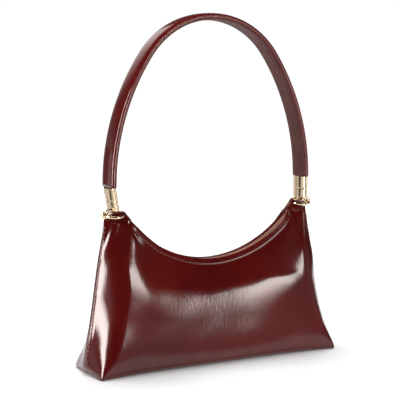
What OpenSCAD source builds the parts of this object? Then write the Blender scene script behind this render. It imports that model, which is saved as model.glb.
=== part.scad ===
// Small leather shoulder bag with a zip along its concave top and one stiff arched handle.
// Millimetres. X runs along the bag, the front faces -Y, Z is up. The origin is in the
// middle of the base, on the surface that the bag stands on.

/* [Body] */
// Length of the base at its corners
base_w = 274; // [244:1:304]
// Depth of the base, front to back
base_d = 66; // [56:1:80]
// Radius of the lower front and back edges in the middle, and of the ends at their seams
base_edge_r = 9; // [6:0.5:12]
// Radius of the lower edges at the four corners
corner_edge_r = 2.2; // [2:0.1:4]
// How far each end seam stands out past the base corners
seam_flare = 6; // [3:0.5:10]
// Distance between the tops of the two end seams
tip_span = 235; // [231:0.5:240]
// Height of the tips
tip_h = 151; // [146:0.5:151.5]
// Height of the lowest point of the rim
rim_low = 104.5; // [98:0.5:112]
// Length of each tip, from the end of the curved rim to the end seam
tip_len = 19.5; // [18:0.5:22]
// Thickness across both rims in the middle
rim_t = 16; // [15.4:0.2:20]
// Thickness across both panels at the tips
tip_t = 6.6; // [6.4:0.1:6.8]

/* [Leather and lining] */
// Thickness of the panel leather
leather_t = 1.6; // [1.2:0.1:1.7]
// Thickness of the lining
lining_t = 0.6; // [0.4:0.1:0.9]
// Thickness of the board in the base
board_t = 2; // [1.5:0.1:3]
// Length of one stitch
stitch_len = 2.8; // [2:0.1:3.4]
// Distance from stitch to stitch
stitch_pitch = 4.2; // [3.8:0.1:6]
// Thickness of the thread
thread_d = 0.6; // [0.4:0.05:0.8]

/* [Zip] */
// Distance of the teeth below the rim, to their middle
chain_drop = 2.5; // [2.2:0.1:3.5]
// Distance between teeth of one row
tooth_pitch = 2.6; // [2.4:0.1:3.4]
// Length of a tooth along the zip
tooth_w = 1.5; // [1:0.1:1.7]
// Height of a tooth
tooth_h = 2; // [1.6:0.1:2.4]
// Width across both rows of teeth
chain_w = 6.4; // [5.6:0.1:7]
// Thickness of the zip tape
tape_t = 0.6; // [0.4:0.1:0.8]
// Distance from the end of the zip to the end of the rim
zip_margin = 12; // [11:0.5:20]
// Length of the slider
slider_len = 9; // [7:0.5:10]
// Width of the slider
slider_w = 8; // [7:0.2:9]
// Length of the pull tab
pull_len = 18; // [12:0.5:22]
// Width of the pull tab
pull_w = 5; // [4:0.2:6]

/* [Handle] */
// How far each end of the handle lies inside the tips
handle_inset = 6; // [5:0.25:8]
// Radius of the arch at its top
arch_r = 86.6; // [80:0.2:92]
// Width of the handle
strap_w = 24.4; // [22:0.2:27]
// Thickness of the handle
strap_t = 7.2; // [6.4:0.1:8]
// Thickness of the handle's leather cover
cover_t = 1.2; // [0.9:0.1:1.5]

/* [Ferrules and rings] */
// Length of a ferrule, both halves
ferrule_len = 24; // [23:0.5:25]
// Length of the upper half of a ferrule
ferrule_upper_len = 13.5; // [12:0.5:15]
// Width of a ferrule
ferrule_w = 23.6; // [22:0.1:25]
// Thickness of a ferrule
ferrule_t = 6.6; // [6:0.1:7]
// Wall of a ferrule
ferrule_wall = 0.8; // [0.6:0.1:1]
// Lean of the left ferrule in degrees
ferrule_lean = 9; // [0:0.5:9.5]
// Radius of a ring to the middle of its wire
ring_r = 9.3; // [9:0.1:9.6]
// Thickness of the ring wire
ring_d = 3.2; // [2.6:0.1:3.3]
// Height of the middle of the rings above the tips
ring_rise = 5.6; // [5.2:0.1:9]
// Tilt of the rings at rest, front down, in degrees
ring_tilt = 12; // [8:0.5:12]

/* [Hidden] */

// Clearances and one overrun for all cuts
gap = 0.3;
join_gap = 0.1;
fit = 0.08;
over = 1;

// The rim is an arc about a line above the bag, and the zip runs round the same line
rim_span = tip_span - 2 * tip_len;
rim_rise = tip_h - rim_low;
rim_r = (pow(rim_span / 2, 2) + pow(rim_rise, 2)) / (2 * rim_rise);
rim_zc = rim_low + rim_r;
chain_r = rim_r + chain_drop;
zip_span = rim_span - 2 * zip_margin;
zip_angle = asin(zip_span / 2 / chain_r);

// Panel columns: shares of the half width of the face, then of the end
face_shares = [0, 0.12, 0.24, 0.36, 0.48, 0.6, 0.7, 0.8, 0.87, 0.93, 0.97, 1];
end_shares = [0.25, 0.5, 0.75, 1];
// Panel rows above the base edge, as shares of the height
row_shares = [0.16, 0.25, 0.35, 0.45, 0.55, 0.65, 0.75, 0.84, 0.92, 1];
edge_steps = 4;
pinch_share = 0.93;
belly_curve_share = 1.5;
corner_curve_share = 4;
floor_play = 0.5;
// How far a cutting body runs on past the rim, as a share of the height
lid_share = 0.12;

// Where the parts of the ferrules and rings lie
lower_len = ferrule_len - ferrule_upper_len;
groove = 0.3;
cap_t = 1.5;
spigot_len = 4;
ring_play = 0.366;
ring_drop = ring_d / 2 + ring_r * sin(ring_tilt) + ring_play;
pivot_z = tip_h + ring_rise;
ferrule_top = pivot_z + ring_drop + ferrule_len;
handle_span = tip_span - 2 * handle_inset;
eye_play = 0.6;
eye_hole_r = ring_d / 2 + eye_play;
eye_wall = 1.7;
eye_r = eye_hole_r + eye_wall;
eye_t = 2.4;
eye_stand = 1.4;
eye_out = ferrule_t / 2 + eye_r + eye_stand;
tab_play = 0.6;
tab_w = tip_t - 2 * leather_t - 2 * tab_play;
tab_t = 1.2;
tab_rise = 3.7;
tab_side = 0.5;
tab_tail = 9;

leather = [0.36, 0.05, 0.05];
leather_dark = [0.29, 0.05, 0.05];
lining_colour = [0.13, 0.08, 0.08];
thread_colour = [0.72, 0.45, 0.4];
tape_colour = [0.2, 0.05, 0.05];
metal = [0.86, 0.76, 0.56];
board_colour = [0.45, 0.4, 0.34];
foam = [0.75, 0.72, 0.66];

function mix(a, b, k) = a + (b - a) * k;
function rim_height(x) = rim_zc - sqrt(pow(rim_r, 2) - pow(x, 2));
function lean(side) = side < 0 ? ferrule_lean : 0;
function foot_x(side) = side * (handle_span / 2 - ferrule_len * sin(lean(side)));
function foot_z(side) = ferrule_top - ferrule_len * cos(lean(side));
function eye_x(side) = foot_x(side) + side * eye_out;
function ring_x(side) = eye_x(side) - side * ring_r;

// The outer skin of one panel. e runs from 0 in the middle to 1 at the fold between face and
// end, g from 0 at the fold to 1 at the end seam, k from 0 at the base to 1 at the top.
function foot_half(e, g) = g > 0
  ? mix(base_w / 2, base_w / 2 + seam_flare, g)
  : e * base_w / 2;
function top_half(e, g) = g > 0 ? mix(rim_span / 2, tip_span / 2, g) : e * rim_span / 2;
function top_height(e, g) = g > 0 ? tip_h : rim_height(e * rim_span / 2);
function rim_half(e) = e < pinch_share
  ? rim_t / 2
  : mix(rim_t / 2, tip_t / 2, (e - pinch_share) / (1 - pinch_share));
function depth_at(e, g, k, inset) =
  (rim_half(e) + (base_d / 2 - rim_half(e)) * (1 - pow(min(k, 1), belly_curve_share)) - inset)
  * (1 - g);
function skin_point(e, g, k, inset) =
  let (x = mix(foot_half(e, g), top_half(e, g), k) - inset * e)
  [x, depth_at(e, g, k, inset), k * top_height(e, g)];
// The lower edge is round in the middle of the face and at the end seam, and crisp at the corner
function edge_r(e, g) = g > 0
  ? mix(corner_edge_r, base_edge_r, g)
  : mix(base_edge_r, corner_edge_r, pow(e, corner_curve_share));
// a runs from 0 on the base to 90 degrees where the panel starts
function edge_point(e, g, a, inset, floor_z) =
  let (start = max(edge_r(e, g), floor_z + floor_play))
  let (p = skin_point(e, g, start / tip_h, inset))
  let (r = max(edge_r(e, g) - inset, 0))
  [p[0] - seam_flare * g * (1 - sin(a)),
   p[1] - r * (1 - sin(a)) * (1 - g),
   mix(floor_z, p[2], 1 - cos(a))];

function column(e, g, inset, floor_z, top_k) = concat(
  [for (i = [0 : edge_steps]) edge_point(e, g, 90 * i / edge_steps, inset, floor_z)],
  [for (k = row_shares) if (k < top_k) skin_point(e, g, k, inset)],
  [skin_point(e, g, top_k, inset)]);

// All columns of one quarter, from the middle to the end seam
function quarter(inset, floor_z, top_k) = concat(
  [for (e = face_shares) column(e, 0, inset, floor_z, top_k)],
  [for (g = end_shares) column(1, g, inset, floor_z, top_k)]);

// A closed body inside the panels' skin, as loops of points from the base to the rim
module body_solid(inset, floor_z, top_k) {
  cols = quarter(inset, floor_z, top_k);
  n = len(cols);
  rows = len(cols[0]);
  across = 2 * n - 1;
  around = 2 * across - 2;
  front = [for (j = [0 : across - 1])
    let (c = abs(j - (n - 1)), side = j < n - 1 ? -1 : 1)
    [for (p = cols[c]) [side * p[0], -p[1], p[2]]]];
  back = [for (j = [across - 2 : -1 : 1]) [for (p = front[j]) [p[0], -p[1], p[2]]]];
  loops = concat(front, back);
  pts = [for (k = [0 : rows - 1]) for (c = loops) c[k]];
  walls = [for (k = [0 : rows - 2]) for (j = [0 : around - 1])
    let (a = k * around + j, b = k * around + (j + 1) % around)
    [a, a + around, b + around, b]];
  // A cap joins each front point with the back point behind it
  floor_cap = [for (j = [0 : across - 2])
    let (b0 = (around - j) % around, b1 = around - j - 1)
    j == 0 ? [0, 1, b1] : j == across - 2 ? [j, j + 1, b0] : [j, j + 1, b1, b0]];
  lid = (rows - 1) * around;
  lid_cap = [for (f = floor_cap) [for (i = [len(f) - 1 : -1 : 0]) lid + f[i]]];
  polyhedron(pts, concat(walls, floor_cap, lid_cap), convexity = 6);
}

// One half of a shell between two skins
module half_shell(outer, outer_floor, inner, inner_floor, top_k, side) {
  big = base_w + tip_h;
  difference() {
    body_solid(outer, outer_floor, top_k);
    body_solid(inner, inner_floor, top_k + lid_share);
    translate([-big, side > 0 ? -2 * big + join_gap / 2 : -join_gap / 2, -big])
      cube([2 * big, 2 * big, 2 * big]);
  }
}

module front_panel() {
  color(leather) half_shell(0, 0, leather_t, leather_t, 1, -1);
}

module back_panel() {
  color(leather) half_shell(0, 0, leather_t, leather_t, 1, 1);
}

board_inset = leather_t + base_edge_r;
board_w = base_w - 2 * board_inset;
board_d = base_d - 2 * board_inset;
board_z = leather_t + join_gap;
board_corner_r = 6;

module base_board() {
  color(board_colour) translate([0, 0, board_z]) linear_extrude(board_t) {
    square([board_w - 2 * board_corner_r, board_d], center = true);
    square([board_w, board_d - 2 * board_corner_r], center = true);
    for (x = [-1, 1], y = [-1, 1])
      translate([x * (board_w / 2 - board_corner_r), y * (board_d / 2 - board_corner_r)])
        circle(r = board_corner_r, $fn = 32);
  }
}

lining_out = leather_t + gap;
lining_in = lining_out + lining_t;
lining_floor = board_z + board_t + join_gap;
lining_top_share = 0.9;

module lining(side) {
  color(lining_colour)
    half_shell(lining_out, lining_floor, lining_in, lining_floor + lining_t, lining_top_share, side);
}

// A place on the zip, phi degrees to the right of its lowest point, with Z away from the bag
module on_zip(phi) {
  translate([0, 0, rim_zc]) rotate([0, -phi, 0]) translate([0, 0, -chain_r]) children();
}

tape_in = 1.5;
tape_out = depth_at(0, 0, 1 - chain_drop / rim_low, leather_t) - gap - join_gap;

module zip_tape(side) {
  color(tape_colour) translate([0, 0, rim_zc]) rotate([90, 0, 0])
    rotate_extrude(angle = 2 * zip_angle, start = 270 - zip_angle, $fn = 180)
      translate([chain_r - tape_t / 2, side > 0 ? -tape_out : tape_in])
        square([tape_t, tape_out - tape_in]);
}

// The two rows leave a slot for the web of the slider. A tooth sits in two halves, over and
// under its tape, joined past the tape's edge.
slot_half = 0.45;
tooth_count = floor(2 * zip_angle * PI / 180 * chain_r / tooth_pitch) - 1;
tooth_step = tooth_pitch / chain_r * 180 / PI;

module tooth(side) {
  reach = chain_w / 2 - slot_half;
  clear = tape_t / 2 + join_gap / 2;
  difference() {
    translate([-tooth_w / 2, side > 0 ? slot_half : -slot_half - reach, -tooth_h / 2])
      cube([tooth_w, reach, tooth_h]);
    translate([-tooth_w, side > 0 ? tape_in - join_gap / 2 : -chain_w, -clear])
      cube([2 * tooth_w, chain_w - tape_in + join_gap / 2, 2 * clear]);
  }
}

module zip_teeth(side) {
  offset_steps = side > 0 ? 0.25 : -0.25;
  color(metal) for (i = [0 : tooth_count - 1])
    on_zip((i - (tooth_count - 1) / 2 + offset_steps) * tooth_step) tooth(side);
}

stop_len = 3;

module zip_end_stops() {
  color(metal) for (side = [-1, 1])
    on_zip(side * (zip_angle + (stop_len / 2 + gap) / chain_r * 180 / PI))
      translate([-stop_len / 2, -chain_w / 2, -tooth_h / 2])
        cube([stop_len, chain_w, tooth_h]);
}

// The slider: a plate over and a plate under the teeth, joined by a thin web, with a bridge
slider_phi = -zip_angle + (slider_len / 2 + tooth_pitch) / chain_r * 180 / PI;
plate_t = 1.1;
plate_gap = 0.3;
web_t = 0.5;
bar_r = 0.6;
bridge_rise = 1.6;
bar_z = tooth_h / 2 + plate_gap + plate_t + bridge_rise;
post_x = 1.6;
post_t = 0.8;
eye_half = 1.5;

module slider_plate(z) {
  nose_r = slider_w / 2;
  translate([0, 0, z]) linear_extrude(plate_t) {
    translate([-slider_len / 2, -slider_w / 2])
      square([slider_len - nose_r, slider_w]);
    intersection() {
      translate([slider_len / 2 - nose_r, 0]) circle(r = nose_r, $fn = 48);
      translate([0, -slider_w / 2]) square([slider_len / 2, slider_w]);
    }
  }
}

module zip_slider() {
  top_z = tooth_h / 2 + plate_gap;
  color(metal) on_zip(slider_phi) {
    slider_plate(top_z);
    slider_plate(-top_z - plate_t);
    translate([-slider_len / 4, -web_t / 2, -top_z - plate_t / 2])
      cube([slider_len / 2, web_t, 2 * top_z + plate_t]);
    for (y = [-eye_half - gap - post_t, eye_half + gap])
      translate([-post_x / 2, y, top_z + plate_t / 2])
        cube([post_x, post_t, bar_z - top_z - plate_t / 2 + bar_r]);
    translate([0, eye_half + gap + post_t / 2, bar_z]) rotate([90, 0, 0])
      cylinder(r = bar_r, h = 2 * (eye_half + gap) + post_t, $fn = 24);
  }
}

pull_t = 1;
pull_eye_wall = 0.8;
pull_eye_r = bar_r + fit + pull_eye_wall;
pull_neck_len = 1.4;
pull_neck = pull_eye_r + pull_neck_len;

module zip_pull() {
  color(metal) on_zip(slider_phi) translate([0, 0, bar_z])
    difference() {
      union() {
        translate([0, eye_half, 0]) rotate([90, 0, 0])
          cylinder(r = pull_eye_r, h = 2 * eye_half, $fn = 32);
        translate([0, -eye_half, -pull_t / 2]) cube([pull_neck + pull_w / 2, 2 * eye_half, pull_t]);
        translate([pull_neck + pull_w / 2, 0, -pull_t / 2]) cylinder(r = pull_w / 2, h = pull_t, $fn = 48);
        translate([pull_neck + pull_w / 2, -pull_w / 2, -pull_t / 2])
          cube([pull_len - pull_neck - pull_w, pull_w, pull_t]);
        translate([pull_len - pull_w / 2, 0, -pull_t / 2])
          cylinder(r = pull_w / 2, h = pull_t, $fn = 48);
      }
      translate([0, eye_half + over, 0]) rotate([90, 0, 0])
        cylinder(r = bar_r + fit, h = 2 * (eye_half + over), $fn = 24);
    }
}

// A leather loop round the inner end of a ring, with a tail sewn in between the panels
module ring_tab(side) {
  x = ring_x(side) - side * ring_r;
  half = ring_d / 2 + tab_side;
  color(leather_dark) translate([x, -tab_w / 2, pivot_z]) {
    difference() {
      translate([-half - tab_t, 0, -tab_rise - tab_t])
        cube([2 * (half + tab_t), tab_w, 2 * (tab_rise + tab_t)]);
      translate([-half, -over, -tab_rise]) cube([2 * half, tab_w + 2 * over, 2 * tab_rise]);
    }
    translate([-tab_t, 0, -tab_rise - tab_t - tab_tail]) cube([2 * tab_t, tab_w, tab_tail]);
  }
}

// One stitch between two points
module stitch(p, q) {
  d = q - p;
  h = norm(d);
  translate(p) rotate([0, acos(d[2] / h), atan2(d[1], d[0])])
    cylinder(d = thread_d, h = h, $fn = 6);
}

stitch_lift = 0.15;
stitch_off = thread_d / 2 + stitch_lift;
rim_margin = 5;
// The rim's arc is longer than its span, and the first stitch starts a little off the middle
rim_arc_share = 1.15;
first_stitch_share = 0.3;

module rim_stitching(side) {
  half_len = rim_span / 2 * pinch_share;
  count = floor(half_len * rim_arc_share / stitch_pitch);
  color(thread_colour) for (sx = [-1, 1], i = [0 : count - 1]) {
    e0 = (i + first_stitch_share) / count * pinch_share;
    e1 = e0 + stitch_len / stitch_pitch / count * pinch_share;
    p = skin_point(e0, 0, 1 - rim_margin / top_height(e0, 0), 0);
    q = skin_point(e1, 0, 1 - rim_margin / top_height(e1, 0), 0);
    stitch(
      [sx * p[0], side * (p[1] + stitch_off), p[2]],
      [sx * q[0], side * (q[1] + stitch_off), q[2]]);
  }
}

side_margin_share = 0.88;
side_low_share = 0.12;
side_high_share = 0.96;

module side_stitching(side) {
  count = floor(tip_h * (side_high_share - side_low_share) / stitch_pitch);
  color(thread_colour) for (i = [0 : count - 1]) {
    k0 = side_low_share + (side_high_share - side_low_share) * i / count;
    k1 = k0 + (side_high_share - side_low_share) * stitch_len / stitch_pitch / count;
    p = skin_point(1, side_margin_share, k0, 0);
    q = skin_point(1, side_margin_share, k1, 0);
    stitch(
      [side * (p[0] + stitch_off), -p[1] - stitch_off, p[2]],
      [side * (q[0] + stitch_off), -q[1] - stitch_off, q[2]]);
  }
}

// The handle's curve has three arcs: one over the top, and a wider one down each side
arch_turn = 55;
side_turn = 90 - arch_turn;
flank_r = (handle_span / 2 - arch_r * cos(side_turn)) / (1 - cos(side_turn));
arch_z = ferrule_top + (flank_r - arch_r) * sin(side_turn);

module stadium(w, t) {
  square([t, w - t], center = true);
  for (y = [-1, 1]) translate([0, y * (w - t) / 2]) circle(d = t, $fn = 40);
}

// Stations along the handle's middle line: place and outward direction in X and Z
flank_steps = 10;
arch_steps = 28;
stations = concat(
  [for (i = [0 : flank_steps - 1])
    let (turn = 180 - side_turn * i / flank_steps)
    [flank_r - handle_span / 2 + flank_r * cos(turn), ferrule_top + flank_r * sin(turn), turn]],
  [for (i = [0 : arch_steps])
    let (turn = 180 - side_turn - 2 * arch_turn * i / arch_steps)
    [arch_r * cos(turn), arch_z + arch_r * sin(turn), turn]],
  [for (i = [flank_steps - 1 : -1 : 0])
    let (turn = side_turn * i / flank_steps)
    [handle_span / 2 - flank_r + flank_r * cos(turn), ferrule_top + flank_r * sin(turn), turn]]);

// A solid that carries one section, points of outward and across, along the handle
module along_handle(section) {
  n = len(section);
  last = len(stations) - 1;
  pts = [for (s = stations) for (q = section)
    [s[0] + q[0] * cos(s[2]), q[1], s[1] + q[0] * sin(s[2])]];
  walls = [for (i = [0 : last - 1]) for (j = [0 : n - 1])
    [i * n + j, i * n + (j + 1) % n, (i + 1) * n + (j + 1) % n, (i + 1) * n + j]];
  // The ends are closed by strips between the section's first half and its second
  near_end = [for (j = [0 : n / 2 - 2]) [n - 1 - j, n - 2 - j, j + 1, j]];
  far_end = [for (f = near_end) [for (i = [len(f) - 1 : -1 : 0]) last * n + f[i]]];
  polyhedron(pts, concat(walls, near_end, far_end), convexity = 8);
}

// Half of the handle's rounded section, skin being the depth that is left off it
round_steps = 6;
function half_section(skin, flat) = [for (end = [-1, 1]) for (i = [0 : round_steps])
  let (turn = end < 0 ? 90 * i / round_steps : 90 - 90 * i / round_steps)
  let (r = strap_t / 2 - skin)
  [max(r * sin(turn), flat), end * ((strap_w - strap_t) / 2 + r * cos(turn))]];
function backwards(list) = [for (i = [len(list) - 1 : -1 : 0]) list[i]];
function turned_over(list) = [for (p = list) [-p[0], p[1]]];

cover_half = concat(half_section(0, join_gap / 2), backwards(half_section(cover_t, join_gap / 2)));

module strap_outer() {
  color(leather) along_handle(cover_half);
}

module strap_inner() {
  color(leather_dark) along_handle(backwards(turned_over(cover_half)));
}

// The place of a ferrule: its top middle, with Z along it
module at_ferrule(side) {
  translate([side * handle_span / 2, 0, ferrule_top]) rotate([0, side * lean(side), 0])
    children();
}

stub_gap = 1;
stub_len = ferrule_upper_len - spigot_len - stub_gap;
stub_overlap = 0.9;
stub_play = 0.5;

module strap_filler() {
  inside = cover_t + join_gap;
  color(foam) {
    along_handle(concat(half_section(inside, join_gap), backwards(turned_over(half_section(inside, join_gap)))));
    for (side = [-1, 1]) at_ferrule(side) translate([0, 0, -stub_len])
      linear_extrude(stub_len + stub_overlap)
        stadium(ferrule_w - 2 * (ferrule_wall + stub_play), ferrule_t - 2 * (ferrule_wall + stub_play));
  }
}

module ferrule_upper(side) {
  // A leaning sleeve stays clear of the level end of the handle
  top_gap = groove + ferrule_t / 2 * tan(lean(side));
  color(metal) at_ferrule(side) translate([0, 0, -ferrule_upper_len])
    linear_extrude(ferrule_upper_len - top_gap) difference() {
      stadium(ferrule_w, ferrule_t);
      stadium(ferrule_w - 2 * ferrule_wall, ferrule_t - 2 * ferrule_wall);
    }
}

module ferrule_lower(side) {
  inner_w = ferrule_w - 2 * ferrule_wall;
  inner_t = ferrule_t - 2 * ferrule_wall;
  color(metal) {
    at_ferrule(side) translate([0, 0, -ferrule_len]) {
      linear_extrude(cap_t) stadium(ferrule_w, ferrule_t);
      translate([0, 0, cap_t]) linear_extrude(lower_len - cap_t - groove) difference() {
        stadium(ferrule_w, ferrule_t);
        stadium(inner_w - 2 * ferrule_wall, inner_t - 2 * ferrule_wall);
      }
      translate([0, 0, lower_len - groove]) linear_extrude(spigot_len) difference() {
        stadium(inner_w - 2 * join_gap, inner_t - 2 * join_gap);
        stadium(inner_w - 2 * ferrule_wall, inner_t - 2 * ferrule_wall);
      }
    }
    difference() {
      union() {
        translate([eye_x(side), eye_t / 2, pivot_z]) rotate([90, 0, 0])
          cylinder(r = eye_r, h = eye_t, $fn = 48);
        translate([min(foot_x(side), eye_x(side)), -eye_t / 2, pivot_z + eye_hole_r + join_gap])
          cube([eye_out, eye_t, foot_z(side) + cap_t - pivot_z - eye_hole_r - join_gap]);
      }
      translate([eye_x(side), eye_t / 2 + over, pivot_z]) rotate([90, 0, 0])
        cylinder(r = eye_hole_r, h = eye_t + 2 * over, $fn = 48);
    }
  }
}

module ring(side) {
  color(metal) translate([ring_x(side), 0, pivot_z]) rotate([ring_tilt, 0, 0])
    rotate_extrude($fn = 96) translate([ring_r, 0]) circle(d = ring_d, $fn = 32);
}

front_panel();
back_panel();
base_board();
lining(-1);  // front_lining
lining(1);  // back_lining
zip_tape(-1);  // zip_tape_front
zip_tape(1);  // zip_tape_back
zip_teeth(-1);  // zip_teeth_front
zip_teeth(1);  // zip_teeth_back
zip_end_stops();
zip_slider();
zip_pull();
ring_tab(-1);  // ring_tab_left
ring_tab(1);  // ring_tab_right
rim_stitching(-1);  // rim_stitching_front
rim_stitching(1);  // rim_stitching_back
side_stitching(-1);  // side_stitching_left
side_stitching(1);  // side_stitching_right
strap_outer();
strap_inner();
strap_filler();
ferrule_upper(-1);  // ferrule_upper_left
ferrule_upper(1);  // ferrule_upper_right
ferrule_lower(-1);  // ferrule_lower_left
ferrule_lower(1);  // ferrule_lower_right
ring(-1);  // ring_left
ring(1);  // ring_right
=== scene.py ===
"""Looks for a small glossy leather shoulder bag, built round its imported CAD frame. Metres."""
import math

import bmesh
import bpy
import numpy as np
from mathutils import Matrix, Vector


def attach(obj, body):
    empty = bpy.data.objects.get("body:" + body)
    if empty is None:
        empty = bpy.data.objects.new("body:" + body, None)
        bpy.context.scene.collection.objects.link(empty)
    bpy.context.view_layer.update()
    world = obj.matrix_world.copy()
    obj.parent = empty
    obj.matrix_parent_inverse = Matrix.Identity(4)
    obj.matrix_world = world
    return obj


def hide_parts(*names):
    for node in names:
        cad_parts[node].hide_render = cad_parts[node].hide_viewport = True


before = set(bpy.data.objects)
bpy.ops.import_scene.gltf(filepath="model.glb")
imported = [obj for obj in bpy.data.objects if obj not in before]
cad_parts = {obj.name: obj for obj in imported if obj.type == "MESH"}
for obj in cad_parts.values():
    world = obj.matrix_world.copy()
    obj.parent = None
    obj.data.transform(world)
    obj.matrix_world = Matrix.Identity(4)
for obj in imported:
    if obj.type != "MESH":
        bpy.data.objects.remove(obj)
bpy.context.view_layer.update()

MM = 0.001

# Driving sizes of the bag, the same as the frame's
BASE_W = 274 * MM
BASE_D = 66 * MM
EDGE_R = 9 * MM
CORNER_EDGE_R = 2.2 * MM
SEAM_FLARE = 6 * MM
TIP_SPAN = 235 * MM
TIP_H = 151 * MM
RIM_LOW = 104.5 * MM
RIM_SPAN = 196 * MM
RIM_T = 16 * MM
TIP_T = 6.6 * MM
LEATHER_T = 1.6 * MM
STITCH_LEN = 2.8 * MM
STITCH_PITCH = 4.2 * MM
CHAIN_DROP = 2.5 * MM
ZIP_SPAN = 172 * MM
RIM_RISE = TIP_H - RIM_LOW
RIM_R = ((RIM_SPAN / 2) ** 2 + RIM_RISE ** 2) / (2 * RIM_RISE)
RIM_ZC = RIM_LOW + RIM_R
CHAIN_R = RIM_R + CHAIN_DROP
ZIP_ANGLE = math.asin(ZIP_SPAN / 2 / CHAIN_R)

# The zip stands a little higher than the frame's, and runs on further to the right
ZIP_LIFT = 1.3 * MM
ZIP_REACH = 97 * MM
ZIP_END = math.asin(ZIP_REACH / CHAIN_R)

# The rim's stitches lie this far below the rim, the side ones at this share of the end
RIM_MARGIN = 5 * MM
SIDE_SHARE = 0.88


def mix(a, b, k):
    return a + (b - a) * k


def smooth(a, b, v):
    """0 below a, 1 above b, and a smooth step between them."""
    s = np.clip((v - a) / (b - a), 0, 1)
    return s * s * (3 - 2 * s)


# The leather skin. t runs from 0 in the middle of the face to 1 at the fold and 2 at the end
# seam, k from 0 at the base to 1 at the rim. The front is side -1, the right end sx +1.
BELLY = 1.5
PINCH_FROM = 0.86
PINCH_TO = 1.04
FACE_CROWN = 0.9 * MM
# How far the fold stands out, at which share of the height the most, and how widely
FOLD_OUT, FOLD_OUT_AT, FOLD_OUT_SPREAD = 3.6 * MM, 0.74, 0.17
# Radius of the fold in mm at the base corner, at mid height and at the tip
FOLD_CORNER, FOLD_MIDDLE, FOLD_TIP = 2.2, 15, 6.5


def rim_height(x):
    return RIM_ZC - np.sqrt(RIM_R ** 2 - x ** 2)


def rim_over(t):
    return rim_height(np.minimum(t, 1) * RIM_SPAN / 2)


def face_half(k):
    out = FOLD_OUT * np.exp(-((k - FOLD_OUT_AT) / FOLD_OUT_SPREAD) ** 2)
    return mix(BASE_W / 2, RIM_SPAN / 2, k) + out


def seam_half(k):
    return mix(BASE_W / 2 + SEAM_FLARE, TIP_SPAN / 2, k)


def fold_radius(k):
    """The fold is crisp at the base corner, full at mid height and tighter at the tip."""
    grown = (FOLD_MIDDLE - FOLD_CORNER) * smooth(0.0, 0.2, k)
    return (FOLD_CORNER + grown - (FOLD_MIDDLE - FOLD_TIP) * smooth(0.5, 1.0, k)) * MM


def end_reach(k):
    """The share of the end that the fold's curve takes up."""
    return mix(0.4, 0.88, smooth(0.0, 0.3, k))


def face_depth(e, k):
    rim = mix(RIM_T / 2, TIP_T / 2, smooth(PINCH_FROM, PINCH_TO, e))
    crown = FACE_CROWN * (1 - smooth(0, 0.45, k)) * (1 - np.clip(e, 0, 1) ** 6)
    return rim + (BASE_D / 2 - rim) * (1 - np.power(np.clip(k, 0, 1), BELLY)) + crown


def sharp_skin(t, k):
    """A point of the skin before its fold is rounded."""
    e = np.minimum(t, 1)
    g = np.clip(t - 1, 0, 1)
    x = np.where(t > 1, mix(face_half(k), seam_half(k), g), e * face_half(k))
    y = face_depth(e, k) * (1 - g)
    z = k * rim_over(t)
    return np.stack([x, y, z], -1)


def round_skin(t, k):
    """A point of the skin with a soft fold between face and end."""
    radius = fold_radius(k)
    a = radius / face_half(k)
    end_len = np.hypot(seam_half(k) - face_half(k), face_depth(np.ones_like(k), k))
    b = np.minimum(1.5 * radius / end_len, end_reach(k))
    w = np.clip((t - (1 - a)) / (a + b), 0, 1)[..., None]
    near = sharp_skin(1 - a, k)
    far = sharp_skin(1 + b, k)
    corner = sharp_skin(np.ones_like(t), k)
    bend = (1 - w) ** 2 * near + 2 * w * (1 - w) * corner + w ** 2 * far
    inside = (t > 1 - a) & (t < 1 + b)
    return np.where(inside[..., None], bend, sharp_skin(t, k))


# The rim is lifted to this height at most, and the tips are pinched by this share
TIP_CAP = 154.4 * MM
TIP_PINCH = 0.4
# How far the rim rises, in mm: the left half, the left tip, the right tip and the end seams
LEFT_RISE, LEFT_TIP_RISE, RIGHT_TIP_RISE = 2.2, 4.4, 4.2
LEFT_SEAM_RISE, RIGHT_SEAM_RISE = 2.9, 1.6


def rim_lift(t, sx):
    """How far the finished leather stands above the frame's rim: the bag hangs a little askew."""
    e = np.minimum(t, 1)
    g = np.clip(t - 1, 0, 1)
    if sx < 0:
        out = LEFT_RISE * smooth(0, 0.6, e) + LEFT_TIP_RISE * smooth(0.55, 0.93, e)
        end = LEFT_SEAM_RISE
    else:
        out = RIGHT_TIP_RISE * smooth(0.84, 0.99, e)
        end = RIGHT_SEAM_RISE
    out = np.minimum(out * MM, TIP_CAP - rim_over(t))
    return np.where(t > 1, mix(out, end * MM, g), out)


WAVES = 5


def wave_noise(p, seed, size, octaves=3):
    """Smooth noise from a fixed set of sine waves, about -1 to 1."""
    rng = np.random.default_rng(seed)
    total = np.zeros(p.shape[:-1])
    for octave in range(octaves):
        for _ in range(WAVES):
            direction = rng.normal(size=3)
            direction /= np.linalg.norm(direction)
            phase = rng.uniform(0, 2 * np.pi)
            freq = 2 * np.pi / size * 2 ** octave * rng.uniform(0.7, 1.3)
            total += np.sin(p @ direction * freq + phase) / 2 ** octave
    return total / WAVES


# The soft ridge that runs down from one tip, along the face and up to the other, in mm
RIDGE = [(-99, 153), (-89, 124), (-86, 97), (-78, 84), (-60, 79.5), (-14, 74), (28, 77),
         (65, 81), (92, 81), (103, 91), (107, 118), (111, 150)]
# Two short ridges that run down from the tips: start, end, width and height in mm
TIP_RIDGES = [((117, 153), (100, 103), 3.2, 1.0), ((-104, 152), (-122, 114), 3.2, 1.5)]


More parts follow.
